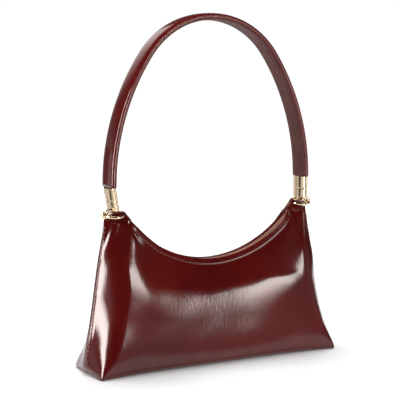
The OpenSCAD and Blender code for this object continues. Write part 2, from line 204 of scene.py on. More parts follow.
def smooth_line(points, count):
    """A Catmull-Rom curve through points."""
    pts = np.array([points[0]] + list(points) + [points[-1]], float)
    out = []
    for i in range(1, len(pts) - 2):
        a, b, c, d = pts[i - 1:i + 3]
        for u in np.linspace(0, 1, count, endpoint=False):
            out.append(0.5 * (2 * b + (c - a) * u + (2 * a - 5 * b + 4 * c - d) * u ** 2
                              + (3 * b - a - 3 * c + d) * u ** 3))
    return np.array(out + [pts[-2]])


# The ridge as a coarse line for distances close to it, and as fine dots for those far off
RIDGE_LINE = smooth_line(RIDGE, 4)
RIDGE_DOTS = smooth_line(RIDGE, 16)


def ridge_distance(x, z):
    """Signed distance in mm to the ridge line, positive above it, and the height of the ridge
    near by. Far from the line a blend of all its points is used, which has no creases."""
    q = np.stack([x, z], -1)[..., None, :]
    a = RIDGE_LINE[:-1]
    d = RIDGE_LINE[1:] - a
    u = np.clip(((q - a) * d).sum(-1) / (d ** 2).sum(-1), 0, 1)
    gap = q - (a + u[..., None] * d)
    dist = np.hypot(gap[..., 0], gap[..., 1])
    near = dist.argmin(-1)[..., None]
    cross = d[:, 0] * gap[..., 1] - d[:, 1] * gap[..., 0]
    sharp = np.take_along_axis(dist, near, -1)[..., 0]
    above = np.sign(np.take_along_axis(cross, near, -1)[..., 0] + 1e-9)
    far = np.hypot(q[..., 0] - RIDGE_DOTS[:, 0], q[..., 1] - RIDGE_DOTS[:, 1]) + 1.0
    pull = np.concatenate([[0], np.hypot(*np.diff(RIDGE_DOTS, axis=0).T)]) / far ** 3
    blend = np.sqrt(2 / pull.sum(-1)) - 0.6
    foot = (pull * RIDGE_DOTS[:, 1]).sum(-1) / pull.sum(-1)
    return mix(sharp, blend, smooth(3, 10, sharp)) * above, foot


def ridge_between(p, start, end, width):
    """A ridge of height 1 between two places in X and Z, which fades out at its lower end."""
    a, b = np.array(start) * MM, np.array(end) * MM
    length = np.linalg.norm(b - a)
    d = (b - a) / length
    q = p[..., [0, 2]] - a
    along = (q @ d) / length
    across = q @ np.array([-d[1], d[0]])
    ends = smooth(-0.15, 0.1, along) * (1 - smooth(0.55, 1.15, along))
    return np.exp(-(across / (width * MM)) ** 2) * ends


# Seeds of the noise in the front and in the back
FRONT_SEED, BACK_SEED = 3, 11
# Heights in mm of the broad waves, the fine waves and the wrinkles by the folds
BROAD_WAVES, FINE_WAVES, FOLD_WRINKLES = 0.25, 0.035, 0.16
# The lower part of the face draws in towards its folds, from this share of its width
LOW_DIP, LOW_DIP_FROM, LOW_DIP_CURVE = 2.4, 0.68, 1.6


def relief(p, side):
    """How far the leather stands off its smooth skin, in metres."""
    seed = FRONT_SEED if side < 0 else BACK_SEED
    out = BROAD_WAVES * wave_noise(p, seed, 120 * MM)
    out += FINE_WAVES * wave_noise(p, seed + 1, 32 * MM, 2)
    e = np.abs(p[..., 0]) / face_half(np.clip(p[..., 2] / TIP_H, 0, 1))
    out += FOLD_WRINKLES * smooth(0.84, 1.0, e) * wave_noise(p, seed + 2, 46 * MM, 2)
    # The face sinks in above the ridge towards the rim, and falls off gently below it
    x, z = p[..., 0] * -side / MM, p[..., 2] / MM
    s, foot = ridge_distance(x, z)
    rim = rim_height(np.clip(np.abs(p[..., 0]), 0, RIM_SPAN / 2))
    drop = np.maximum((rim - p[..., 2]) / MM, 0.1)
    high = mix(3.8, 2.2, smooth(86, 130, foot)) * (1 + 0.35 * smooth(30, 95, x))
    soft = mix(4.0, 2.0, smooth(86, 122, foot))
    wide = mix(13.0, 3.0, smooth(84, 112, foot))
    top = np.sqrt(s ** 2 + soft ** 2) - soft
    outside = np.sqrt(s ** 2 + wide ** 2) - wide
    out += high * np.where(s > 0, drop / (drop + 1.1 * top), np.exp(-(outside / 30) ** 1.2))
    for start, end, width, height in TIP_RIDGES:
        out += height * ridge_between(p, start, end, width)
    low = (1 - smooth(70, 110, z)) * smooth(0, 55, z)
    past = np.maximum(np.minimum(e, 1) - LOW_DIP_FROM, 0) / (1 - LOW_DIP_FROM)
    out -= LOW_DIP * low * past ** LOW_DIP_CURVE
    return out * MM


# Half the step, in t and k, from which the skin's normals are taken
NORMAL_STEP = 1e-3
# Heights in mm of the hem below the rim, the dip of its stitches and the same at the end seam
HEM_RISE, STITCH_DIP = 0.32, 0.28
SEAM_SINK, SEAM_RISE, SIDE_STITCH_DIP = 0.9, 0.25, 0.3


def skin(t, k, side, sx, off=0.0):
    """The finished leather surface, and its outward normal."""
    t = np.asarray(t, float)
    k = np.asarray(k, float) + 0 * t
    p = round_skin(t, k)
    t0, t1 = np.clip(t - NORMAL_STEP, 0, 2), np.clip(t + NORMAL_STEP, 0, 2)
    k0, k1 = np.clip(k - NORMAL_STEP, 0, 1), np.clip(k + NORMAL_STEP, 0, 1)
    n = np.cross(round_skin(t1, k) - round_skin(t0, k), round_skin(t, k1) - round_skin(t, k0))
    n /= np.maximum(np.linalg.norm(n, axis=-1, keepdims=True), 1e-12)
    n *= np.sign(n[..., [1]] + 1e-9 + (np.abs(n[..., [1]]) < 1e-6) * n[..., [0]])
    flip = np.array([sx, side, 1.0])
    p = p * flip
    p[..., 2] += k ** 1.7 * rim_lift(t, sx)
    p[..., 1] *= 1 - TIP_PINCH * smooth(0.9, 1.0, k) * smooth(0.93, 1.05, t)
    n = n * flip
    drop = (1 - k) * rim_over(t)
    hem = HEM_RISE * (1 - smooth(3.8 * MM, 6.4 * MM, drop))
    hem -= STITCH_DIP * np.exp(-((drop - RIM_MARGIN) / (0.7 * MM)) ** 2)
    hem *= 1 - smooth(0.96, 1.03, t)
    g = np.clip(t - 1, 0, 1)
    seam = SEAM_RISE * smooth(0.72, 0.9, g) - SEAM_SINK * smooth(0.93, 1.0, g)
    seam -= SIDE_STITCH_DIP * np.exp(-((g - SIDE_SHARE) / 0.02) ** 2)
    # The relief calms down at the rim, at the base and towards the end seam
    calm = smooth(0, mix(12, 6, smooth(0.8, 1.0, t)) * MM, drop) * smooth(0, 0.09, k)
    calm *= 1 - 0.8 * smooth(0.5, 1.0, g)
    d = relief(p, side) * calm + (hem + seam) * MM + off
    return p + n * d[..., None], n


# Meshes
def add_object(name, data):
    obj = bpy.data.objects.new(name, data)
    bpy.context.scene.collection.objects.link(obj)
    return obj


def add_piece(name, verts, faces, material, body, slot, node):
    """A smooth mesh that rides on a body and stands for a node of the frame."""
    mesh = bpy.data.meshes.new(name)
    mesh.from_pydata([tuple(v) for v in verts], [], [tuple(int(i) for i in f) for f in faces])
    mesh.validate()
    bm = bmesh.new()
    bm.from_mesh(mesh)
    bmesh.ops.remove_doubles(bm, verts=bm.verts, dist=1e-6)
    bmesh.ops.recalc_face_normals(bm, faces=bm.faces)
    bm.to_mesh(mesh)
    bm.free()
    mesh.shade_smooth()
    mesh.materials.append(material)
    obj = add_object(name, mesh)
    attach(obj, body)
    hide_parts(node)
    return obj


def grid_faces(rows, cols, closed=False):
    wrap = cols if closed else cols - 1
    faces = []
    for r in range(rows - 1):
        for c in range(wrap):
            a, b = r * cols + c, r * cols + (c + 1) % cols
            faces.append((a, b, b + cols, a + cols))
    return faces


def circle(centre, r, u, v, steps):
    """Points round a centre, in the plane of u and v."""
    return np.array([centre + r * (math.cos(a) * u + math.sin(a) * v)
                     for a in np.linspace(0, 2 * math.pi, steps, endpoint=False)])


def power(value, exponent):
    """A power that keeps the sign, for rounded sections."""
    return math.copysign(abs(value) ** exponent, value)


def tube(rings, cap=True):
    """A closed tube through rings, which are arrays of points, with flat or pointed ends."""
    rows = len(rings)
    cols = len(rings[0])
    verts = np.concatenate(rings)
    faces = grid_faces(rows, cols, closed=True)
    if cap:
        faces.append(tuple(range(cols))[::-1])
        faces.append(tuple((rows - 1) * cols + i for i in range(cols)))
    return verts, faces


def merge(parts):
    verts, faces, base = [], [], 0
    for v, f in parts:
        verts.append(np.asarray(v))
        faces += [tuple(i + base for i in face) for face in f]
        base += len(v)
    return np.concatenate(verts), faces


# Materials
def new_material(name):
    material = bpy.data.materials.new(name)
    material.use_nodes = True
    tree = material.node_tree
    return material, tree, tree.nodes["Principled BSDF"]


def fill(tree, node, values):
    """Sets a node's inputs, and links those that are given an output."""
    for name, value in values.items():
        if isinstance(value, bpy.types.NodeSocket):
            tree.links.new(value, node.inputs[name])
        else:
            node.inputs[name].default_value = value


def new_node(tree, kind, values):
    node = tree.nodes.new("ShaderNode" + kind)
    fill(tree, node, values)
    return node


def coords(tree, scale=(1, 1, 1)):
    where = new_node(tree, "TexCoord", {}).outputs["Object"]
    return new_node(tree, "Mapping", {"Scale": scale, "Vector": where}).outputs["Vector"]


def noise_node(tree, vector, scale, detail, rough):
    values = {"Scale": scale, "Detail": detail, "Roughness": rough, "Vector": vector}
    return new_node(tree, "TexNoise", values).outputs["Fac"]


def cells_node(tree, vector, scale):
    return new_node(tree, "TexVoronoi", {"Scale": scale, "Vector": vector}).outputs["Distance"]


def ramp(tree, fac, stops):
    r = tree.nodes.new("ShaderNodeValToRGB")
    while len(r.color_ramp.elements) < len(stops):
        r.color_ramp.elements.new(0.5)
    for element, (place, colour) in zip(r.color_ramp.elements, stops):
        element.position = place
        element.color = (*colour, 1)
    tree.links.new(fac, r.inputs["Fac"])
    return r.outputs["Color"]


def bump(tree, height, strength, distance, normal=None):
    values = {"Strength": strength, "Distance": distance, "Height": height}
    if normal is not None:
        values["Normal"] = normal
    return new_node(tree, "Bump", values).outputs["Normal"]


def map_range(tree, value, low, high, start=0.0, stop=1.0, eased=False):
    """Takes start to low and stop to high, and holds beyond them."""
    span = new_node(tree, "MapRange", {"Value": value, "From Min": start, "From Max": stop,
                                       "To Min": low, "To Max": high})
    if eased:
        span.interpolation_type = "SMOOTHSTEP"
    return span.outputs["Result"]


def math_node(tree, operation, first, second):
    """One operation on an output and a second value, which is an output or a plain number."""
    node = new_node(tree, "Math", {0: first, 1: second})
    node.operation = operation
    return node.outputs["Value"]


LEATHER_ROUGH = 0.3
COAT_ROUGH = 0.1


def glossy_leather(name, dark, mid, light, coat):
    """Polished calf: cloudy dye under a clear finish, with a fine upright grain."""
    material, tree, bsdf = new_material(name)
    broad = coords(tree)
    upright = coords(tree, (1.0, 1.0, 0.16))
    cloud = noise_node(tree, broad, scale=14, detail=4, rough=0.55)
    colour = ramp(tree, cloud, [(0.25, dark), (0.5, mid), (0.8, light)])
    dents = noise_node(tree, broad, scale=120, detail=3, rough=0.6)
    streaks = noise_node(tree, upright, scale=900, detail=4, rough=0.62)
    pores = cells_node(tree, broad, scale=1500)
    low = bump(tree, dents, strength=0.06, distance=0.0012)
    fine = bump(tree, streaks, strength=0.3, distance=0.0004, normal=low)
    skin_normal = bump(tree, pores, strength=0.05, distance=0.0002, normal=fine)
    wear = noise_node(tree, upright, scale=260, detail=4, rough=0.6)
    patchy = map_range(tree, wear, LEATHER_ROUGH * 0.9, LEATHER_ROUGH * 1.15)
    drawn = coords(tree, (1.0, 1.0, 0.22))
    wrinkles = noise_node(tree, drawn, scale=420, detail=4, rough=0.6)
    coat_normal = bump(tree, wrinkles, strength=0.12, distance=0.0005)
    fill(tree, bsdf, {"Base Color": colour, "Normal": skin_normal, "Roughness": patchy,
                       "Coat Weight": coat, "Coat Roughness": COAT_ROUGH,
                       "Coat Normal": coat_normal, "Specular IOR Level": 0.06})
    return material


def matte_leather(name, dark, light):
    material, tree, bsdf = new_material(name)
    broad = coords(tree)
    cloud = noise_node(tree, broad, scale=60, detail=4, rough=0.6)
    colour = ramp(tree, cloud, [(0.3, dark), (0.75, light)])
    cells = cells_node(tree, broad, scale=1100)
    grain = bump(tree, cells, strength=0.35, distance=0.0003)
    fill(tree, bsdf, {"Base Color": colour, "Normal": grain, "Roughness": 0.45,
                       "Specular IOR Level": 0.12})
    return material


def fabric(name, dark, light, count, strength):
    """Woven cloth: two crossed waves give the weave."""
    material, tree, bsdf = new_material(name)
    place = coords(tree)
    waves = []
    for axis in ("X", "Z"):
        w = new_node(tree, "TexWave", {"Scale": count, "Distortion": 0.6, "Vector": place})
        w.bands_direction = axis
        waves.append(w.outputs["Fac"])
    weave = math_node(tree, "MULTIPLY", *waves)
    colour = ramp(tree, weave, [(0, dark), (0.7, light)])
    threads = bump(tree, weave, strength, distance=0.0003)
    fill(tree, bsdf, {"Base Color": colour, "Normal": threads, "Roughness": 0.85,
                       "Specular IOR Level": 0.15})
    return material


def gold_metal(name, colour, rough, metallic=1.0):
    """Polished plate: a warm mirror with faint wipe marks."""
    material, tree, bsdf = new_material(name)
    place = coords(tree, (1, 1, 0.2))
    tone = noise_node(tree, place, scale=90, detail=3, rough=0.5)
    darker = tuple(c * 0.9 for c in colour)
    toned = ramp(tree, tone, [(0.3, darker), (0.7, colour)])
    marks = noise_node(tree, place, scale=1400, detail=3, rough=0.6)
    polish = map_range(tree, marks, rough * 0.7, rough * 1.4)
    wiped = bump(tree, marks, strength=0.03, distance=0.0001)
    fill(tree, bsdf, {"Base Color": toned, "Normal": wiped, "Roughness": polish,
                       "Metallic": metallic})
    return material


LEATHER = glossy_leather(
    "oxblood_leather", (0.066, 0.0008, 0.0006), (0.102, 0.0018, 0.0012), (0.14, 0.004, 0.0026), 0.9)
STRAP_LEATHER = glossy_leather(
    "oxblood_strap", (0.07, 0.0015, 0.0015), (0.115, 0.003, 0.003), (0.15, 0.006, 0.005), 0.8)
INNER_LEATHER = matte_leather("matte_oxblood", (0.095, 0.028, 0.026), (0.14, 0.046, 0.042))
# Edge paint for the beads, much paler than the strap: the paleness is a painted highlight, the
# strap leather's reflection put into the colour.
EDGE_PAINT_WITH_HIGHLIGHT = glossy_leather(
    "edge_paint_with_highlight", (0.2, 0.05, 0.045), (0.27, 0.08, 0.07), (0.34, 0.12, 0.1), 0.8)
THREAD = fabric("thread", (0.24, 0.075, 0.06), (0.42, 0.16, 0.13), 1500, 0.6)
SEAM_THREAD = fabric("seam_thread", (0.5, 0.2, 0.16), (0.85, 0.48, 0.4), 1500, 0.6)
TAPE = fabric("zip_tape", (0.03, 0.006, 0.007), (0.075, 0.014, 0.016), 700, 0.8)
LINING = fabric("lining", (0.012, 0.006, 0.006), (0.03, 0.014, 0.014), 500, 0.4)
GOLD = gold_metal("champagne_gold", (0.88, 0.7, 0.49), 0.1)
COPPER = gold_metal("tooth_plate", (0.78, 0.4, 0.3), 0.35, 0.4)
BOARD = fabric("board", (0.16, 0.13, 0.1), (0.24, 0.2, 0.16), 160, 0.3)
FELT = fabric("leather_fibre", (0.05, 0.015, 0.015), (0.09, 0.03, 0.028), 300, 0.5)


# The panels
FACE_COLS = 64
FOLD_COLS = 12
END_COLS = 14
WALL_ROWS = 56
EDGE_ROWS = 8
# Rows near the rim, in mm below it
HEM_DROPS = [8, 7, 6.4, 5.9, 5.5, 5.2, 5.0, 4.8, 4.5, 4.1, 3.4, 2.4, 1.4, 0.7, 0.3]
# The first wall row's share of the height
FIRST_SHARE = 0.02
# How much of the base edge's curve is straightened
EDGE_FLAT = 0.55
BASE_SHARES = (0, 0.4, 0.8)
BASE_GAP = 0.05 * MM
# The rim's roll: its radius, at most this share of the depth there, and its hem inside
ROLL_R = 1.9 * MM
ROLL_SHARE = 0.42
ROLL_ROWS = 8
ROLL_RISE = 0.3
HEM_IN_DROPS = (0.8, 1.8, 3.0)
LINING_IN = LEATHER_T + 0.35 * MM
LINING_TOP_DROP = 9.5 * MM
LINING_FLOOR = 4.2 * MM


def column_t(k):
    """The places of all columns at height k."""
    radius = float(fold_radius(k))
    a = radius / face_half(k)
    end_len = math.hypot(seam_half(k) - face_half(k), face_depth(1.0, k))
    b = min(1.5 * radius / end_len, float(end_reach(k)))
    face = np.linspace(0, 1 - a, FACE_COLS)
    fold = np.linspace(1 - a, 1 + b, FOLD_COLS + 1)[1:]
    end = np.linspace(1 + b, 2, END_COLS + 1)[1:]
    return np.concatenate([face, fold, end])


def edge_height(t):
    """The lower edge is round in the middle of the face and at the end seam, not at the corner."""
    e = np.minimum(t, 1)
    g = np.clip(t - 1, 0, 1)
    return np.where(t > 1, mix(CORNER_EDGE_R, EDGE_R, g), mix(EDGE_R, CORNER_EDGE_R, e ** 4))


def panel_rows(side, sx, off=0.0, top_drop=0.0):
    """Rows of points of half a panel, from the middle of the base to the rim."""
    t = column_t(FIRST_SHARE)
    high = edge_height(t)
    p, _ = skin(t, high / TIP_H, side, sx, off)
    g = np.clip(t - 1, 0, 1)
    turned = []
    for i in range(EDGE_ROWS + 1):
        s = i / EDGE_ROWS
        a = math.pi / 2 * s
        run = mix(1 - math.sin(a), 1 - s, EDGE_FLAT)
        rise = mix(1 - math.cos(a), s, EDGE_FLAT)
        q = p.copy()
        q[:, 0] -= sx * SEAM_FLARE * g * run
        q[:, 1] -= side * high * run * (1 - g)
        q[:, 2] = mix(-off, p[:, 2], rise)
        turned.append(q)
    rows = []
    for share in BASE_SHARES:
        q = turned[0].copy()
        q[:, 1] = mix(side * BASE_GAP, q[:, 1], share)
        rows.append(q)
    rows += turned
    drops = [d * MM for d in HEM_DROPS if d * MM > top_drop]
    first = drops[0] if drops else top_drop
    for i in range(1, WALL_ROWS):
        s = i / WALL_ROWS
        t = column_t(mix(FIRST_SHARE, 1 - first / RIM_LOW, s))
        height = rim_over(t)
        k = mix(edge_height(t) / TIP_H, 1 - first / height, s)
        rows.append(skin(t, k, side, sx, off)[0])
    for drop in drops + [top_drop]:
        t = column_t(1 - drop / TIP_H)
        rows.append(skin(t, 1 - drop / rim_over(t), side, sx, off)[0])
    return rows


def roll_rows(top, side, sx):
    """The rim turned over inward in a full roll, and its hem down to the zip tape."""
    rows = []
    lift = rim_lift(column_t(1.0), sx)
    depth = np.abs(top[:, 1])
    r = np.minimum(ROLL_R, depth * ROLL_SHARE)
    for i in range(1, ROLL_ROWS + 1):
        a = math.pi * i / ROLL_ROWS
        q = top.copy()
        q[:, 1] = side * (depth - r * (1 - math.cos(a)))
        q[:, 2] = top[:, 2] + ROLL_RISE * r * math.sin(a)
        rows.append(q)
    inside = rows[-1]
    for drop in HEM_IN_DROPS:
        q = inside.copy()
        q[:, 2] -= drop * MM + lift * drop / HEM_IN_DROPS[-1]
        rows.append(q)
    return rows


def whole_rows(half):
    """Rows from end to end, from a function that gives the rows of one half of a panel."""
    return [np.concatenate([left[:0:-1], right]) for left, right in zip(half(-1), half(1))]


def add_rows(name, rows, material, slot, node):
    faces = grid_faces(len(rows), len(rows[0]))
    add_piece(name, np.concatenate(rows), faces, material, "bag", slot, node)


def build_panel(name, side, node):
    def half(sx):
        rows = panel_rows(side, sx)
        return rows + roll_rows(rows[-1], side, sx)

    add_rows(name, whole_rows(half), LEATHER, "panel_leather", node)


def build_lining(name, side, node):
    rows = whole_rows(lambda sx: panel_rows(side, sx, -LINING_IN, LINING_TOP_DROP))
    for row in rows:
        row[:, 2] = np.maximum(row[:, 2], LINING_FLOOR)
    add_rows(name, rows, LINING, "lining", node)


# Stitches. The thread is drawn thicker than the frame's, so that it shows.
THREAD_D = 0.85 * MM
THREAD_SIDES = 6
STITCH_RINGS = 7
# The first stitch starts this share of a pitch off the middle
FIRST_STITCH = 0.17
RIM_STITCH_SHARE = 0.95
ARC_SAMPLES = 400
SIDE_LOW = 0.12
SIDE_HIGH = 0.955


def stitch(p, q, n):
    """One stitch, bowed off the leather, with its ends sunk in."""
    d = q - p
    length = np.linalg.norm(d)
    d = d / length
    across = np.cross(d, n)
    rings = []
    for s in np.linspace(0, 1, STITCH_RINGS):
        bow = math.sin(math.pi * s)
        lift = THREAD_D * (0.55 * bow ** 0.6 - 0.25)
        r = THREAD_D / 2 * mix(0.55, 1, bow ** 0.5)
        rings.append(circle(p + d * length * s + n * lift, r, across, n, THREAD_SIDES))
    return tube(rings)


def rim_stitches(name, side, node):
    steps = np.linspace(0, RIM_SPAN / 2 * RIM_STITCH_SHARE, ARC_SAMPLES)
    arc = np.cumsum(np.hypot(np.diff(steps), np.diff(rim_height(steps))))
    arc = np.concatenate([[0], arc])
    parts = []
    for sx in (-1, 1):
        for i in range(int(arc[-1] / STITCH_PITCH)):
            start = (i + FIRST_STITCH) * STITCH_PITCH
            x = np.interp([start, start + STITCH_LEN], arc, steps)
            p, n = skin(x / (RIM_SPAN / 2), 1 - RIM_MARGIN / rim_height(x), side, sx)
            parts.append(stitch(p[0], p[1], n[0]))
    add_piece(name, *merge(parts), THREAD, "bag", "thread", node)


def side_stitches(name, sx, node):
    count = int(TIP_H * (SIDE_HIGH - SIDE_LOW) / STITCH_PITCH)
    step = (SIDE_HIGH - SIDE_LOW) / count
    parts = []
    for i in range(count):
        start = SIDE_LOW + step * i
        k = np.array([start, start + step * STITCH_LEN / STITCH_PITCH])
        p, n = skin(np.full(2, 1 + SIDE_SHARE), k, -1, sx)
        parts.append(stitch(p[0], p[1], n[0]))
    add_piece(name, *merge(parts), SEAM_THREAD, "bag", "thread", node)


# The zip runs round a line above the bag
def on_zip(phi, local):
    """World places of points given at phi radians along the zip, with Z away from the bag."""
    local = np.asarray(local, float)
    c, s = math.cos(phi), math.sin(phi)
    x = local[..., 0] * c - (local[..., 2] - CHAIN_R) * s
    z = local[..., 0] * s + (local[..., 2] - CHAIN_R) * c + RIM_ZC
    return np.stack([x, local[..., 1], z], -1)


TAPE_T = 0.6 * MM
TAPE_IN = 1.5 * MM
TAPE_SAG = 0.2 * MM
# How far the tape laps under the hem, its least reach from the middle and its least width
TAPE_LAP, TAPE_REACH, TAPE_WIDTH = 0.5 * MM, 1.0 * MM, 0.6 * MM
TAPE_LEFT = math.asin(93 * MM / CHAIN_R)
TAPE_RIGHT = ZIP_END + 3 * MM / CHAIN_R
TAPE_ROWS = 112
TAPE_COLS = 9
TOOTH_PITCH = 2.6 * MM
CHAIN_W = 6.4 * MM
SLOT_HALF = 0.45 * MM


def build_tape(name, side, node):
    rings = []
    for phi in np.linspace(-TAPE_LEFT, TAPE_RIGHT, TAPE_ROWS):
        e = min(abs(CHAIN_R * math.sin(phi)) / (RIM_SPAN / 2), 1)
        depth = float(face_depth(np.array(e), np.array(1.0)))
        reach = max(depth - 2 * min(ROLL_R, depth * ROLL_SHARE) + TAPE_LAP, TAPE_REACH)
        start = min(TAPE_IN, reach - TAPE_WIDTH)
        top = [(mix(start, reach, u), ZIP_LIFT - TAPE_SAG * math.sin(math.pi * u))
               for u in np.linspace(0, 1, TAPE_COLS)]
        low = [(y, z - TAPE_T) for y, z in top[::-1]]
        rings.append(on_zip(phi, np.array([(0, side * y, z) for y, z in top + low])))
    add_piece(name, *tube(rings), TAPE, "bag", "zip_tape", node)


def rounded_box(w, d, h, r, centre):
    """A box with bevelled edges, as points and faces."""
    bm = bmesh.new()
    bmesh.ops.create_cube(bm, size=1)
    for v in bm.verts:
        v.co = Vector((v.co.x * w, v.co.y * d, v.co.z * h))
    bmesh.ops.bevel(bm, geom=bm.edges[:], offset=r, segments=2, profile=0.5, affect="EDGES")
    verts = np.array([v.co[:] for v in bm.verts]) + np.array(centre)
    faces = [tuple(v.index for v in f.verts) for f in bm.faces]
    bm.free()
    return verts, faces


def build_teeth(name, side, node):
    count = int((ZIP_ANGLE + ZIP_END) * CHAIN_R / TOOTH_PITCH) - 1
    reach = CHAIN_W / 2 - SLOT_HALF
    # A tooth is a narrow root by the tape and a wider head by the slot
    root = (0, side * (SLOT_HALF + reach * 0.69), ZIP_LIFT)
    head = (0, side * (SLOT_HALF + reach * 0.25), ZIP_LIFT)
    verts, faces = merge([rounded_box(1.2 * MM, reach * 0.62, 2.0 * MM, 0.28 * MM, root),
                          rounded_box(1.4 * MM, reach * 0.5, 1.9 * MM, 0.35 * MM, head)])
    parts = []
    for i in range(count):
        place = (i - (count - 1) / 2 + side * 0.25) * TOOTH_PITCH / CHAIN_R
        parts.append((on_zip((ZIP_END - ZIP_ANGLE) / 2 + place, verts), faces))
    add_piece(name, *merge(parts), COPPER, "bag", "gold_metal", node)


def disc_stack(outline, levels):
    """A solid from one convex outline, given as (inset, height) levels."""
    outline = np.asarray(outline, float)
    nexts = np.roll(outline, -1, axis=0) - np.roll(outline, 1, axis=0)
    normal = np.stack([nexts[:, 1], -nexts[:, 0]], -1)
    normal /= np.linalg.norm(normal, axis=1, keepdims=True)
    rings = []
    for inset, z in levels:
        flat = outline - normal * inset
        rings.append(np.column_stack([flat, np.full(len(flat), z)]))
    return tube(rings)


def bevelled(z0, z1, r):
    """Levels of a plate with rounded edges."""
    a = np.linspace(0, math.pi / 2, 4)
    low = [(r * (1 - math.sin(t)), z0 + r * (1 - math.cos(t))) for t in a]
    high = [(r * (1 - math.cos(t)), z1 - r * (1 - math.sin(t))) for t in a]
    hold = min(0.3 * MM, (z1 - z0) * 0.2)
    return low + [(0, z0 + r + hold), (0, z1 - r - hold)] + high


SLIDER_LEN = 9 * MM
SLIDER_W = 8 * MM
SLIDER_PHI = -ZIP_ANGLE + (SLIDER_LEN / 2 + TOOTH_PITCH) / CHAIN_R
# The slider's two plates, from and to, and the middle of its bar
TOP_PLATE = (2.45 * MM, 3.2 * MM)
LOW_PLATE = (-0.9 * MM, 0.1 * MM)
PLATE_EDGE_R = 0.3 * MM
BAR_Z = 4.0 * MM
BAR_R = 0.55 * MM
BAR_HALF = 2.4 * MM
POST_Y = 2.2 * MM


def slider_outline():
    """Round at its nose, a little drawn in at its back."""
    half_l, half_w = SLIDER_LEN / 2, SLIDER_W / 2
    nose = [(half_l - half_w * (1 - math.cos(a)), half_w * math.sin(a))
            for a in np.linspace(-1.5, 1.5, 15)]
    waist = -half_l * 0.3, half_w * 0.93
    back = [waist, (-half_l + 0.4 * MM, half_w - 0.1 * MM), (-half_l, half_w - 0.6 * MM)]
    return nose + back + [(x, -y) for x, y in back[::-1]]


def rod(p, q, r):
    """A round bar with bevelled ends."""
    p, q = np.array(p, float), np.array(q, float)
    length = np.linalg.norm(q - p)
    d = (q - p) / length
    u = np.cross(d, (0.3, 0.5, 0.8))
    u /= np.linalg.norm(u)
    v = np.cross(d, u)
    ends = ((0, 0.6), (0.25 * r, 0.9), (0.6 * r, 1))
    levels = list(ends) + [(length - along, share) for along, share in ends[::-1]]
    return tube([circle(p + d * along, r * share, u, v, 14) for along, share in levels])


def build_slider():
    outline = slider_outline()
    parts = [disc_stack(outline, bevelled(*TOP_PLATE, PLATE_EDGE_R)),
             disc_stack(outline, bevelled(*LOW_PLATE, PLATE_EDGE_R)),
             rounded_box(4.0 * MM, 0.5 * MM, 2.8 * MM, 0.1 * MM, (0, 0, 1.3 * MM))]
    for y in (-POST_Y, POST_Y):
        parts.append(rounded_box(1.6 * MM, 0.8 * MM, 1.9 * MM, 0.3 * MM, (0, y, 3.75 * MM)))
    parts.append(rod((0, -BAR_HALF, BAR_Z), (0, BAR_HALF, BAR_Z), BAR_R))
    verts, faces = merge(parts)
    obj = add_piece("slider_body", on_zip(SLIDER_PHI, verts), faces, GOLD, "slider", "gold_metal",
                    "zip_slider")
    edges = obj.modifiers.new("bevel", "BEVEL")
    edges.width = 0.05 * MM
    edges.segments = 1
    edges.limit_method = "ANGLE"
    edges.angle_limit = math.radians(40)
    edges.harden_normals = True


SECTION_STEPS = 16


def round_ring(centre, radius, wire, depth, steps=40):
    """A flat ring round the Y axis, with a rounded rectangular section."""
    rings = []
    for a in np.linspace(0, 2 * math.pi, steps, endpoint=False):
        out = np.array([math.cos(a), 0, math.sin(a)])
        section = []
        for b in np.linspace(0, 2 * math.pi, SECTION_STEPS, endpoint=False):
            across = np.array([0, depth * power(math.sin(b), 0.6), 0])
            section.append(centre + out * (radius + wire * power(math.cos(b), 0.6)) + across)
        rings.append(np.array(section))
    # The first section again, to close the ring. Pieces join points at one place.
    return tube(rings + rings[:1], cap=False)


PULL_LEN = 18 * MM
PULL_W = 5 * MM
PULL_NECK = 3.3 * MM
PULL_HALF_T = 0.45 * MM
PULL_EDGE_R = 0.25 * MM


def build_pull():
    r = PULL_W / 2
    outline = [(PULL_NECK + r - r * math.cos(a), r * math.sin(a))
               for a in np.linspace(1.35, -1.35, 9)]
    outline += [(PULL_LEN - r + r * math.sin(a), -r * math.cos(a))
                for a in np.linspace(0, math.pi, 17)]
    plate = bevelled(BAR_Z - PULL_HALF_T, BAR_Z + PULL_HALF_T, PULL_EDGE_R)
    parts = [disc_stack(outline, plate),
             round_ring(np.array([0, 0, BAR_Z]), 1.25 * MM, 0.42 * MM, 1.4 * MM, 24),
             rounded_box(3.2 * MM, 2.6 * MM, 0.8 * MM, 0.25 * MM, (3.1 * MM, 0, BAR_Z))]
    verts, faces = merge(parts)
    add_piece("pull_tab", on_zip(SLIDER_PHI, verts), faces, GOLD, "pull", "gold_metal", "zip_pull")


STOP_OFF = 1.8 * MM


def build_stops():
    middle = (0, 0, ZIP_LIFT)
    verts, faces = merge([rounded_box(2.6 * MM, 6.2 * MM, 2.2 * MM, 0.5 * MM, middle),
                          rounded_box(0.7 * MM, 6.5 * MM, 2.5 * MM, 0.25 * MM, middle)])
    ends = (-ZIP_ANGLE - STOP_OFF / CHAIN_R, ZIP_END + STOP_OFF / CHAIN_R)
    parts = [(on_zip(phi, verts), faces) for phi in ends]
    add_piece("stops", *merge(parts), COPPER, "bag", "gold_metal", "zip_end_stops")


# The handle
HANDLE_SPAN = 223 * MM
ARCH_R = 86.6 * MM
ARCH_TURN = math.radians(55)
SIDE_TURN = math.pi / 2 - ARCH_TURN
FERRULE_TOP = 184.5 * MM
FLANK_R = (HANDLE_SPAN / 2 - ARCH_R * math.cos(SIDE_TURN)) / (1 - math.cos(SIDE_TURN))
ARCH_Z = FERRULE_TOP + (FLANK_R - ARCH_R) * math.sin(SIDE_TURN)
STRAP_W = 24.4 * MM
STRAP_T = 7.2 * MM
COVER_T = 1.2 * MM
# Half the gap between the two covers
COVER_GAP = 0.06 * MM
HANDLE_ROWS = 170
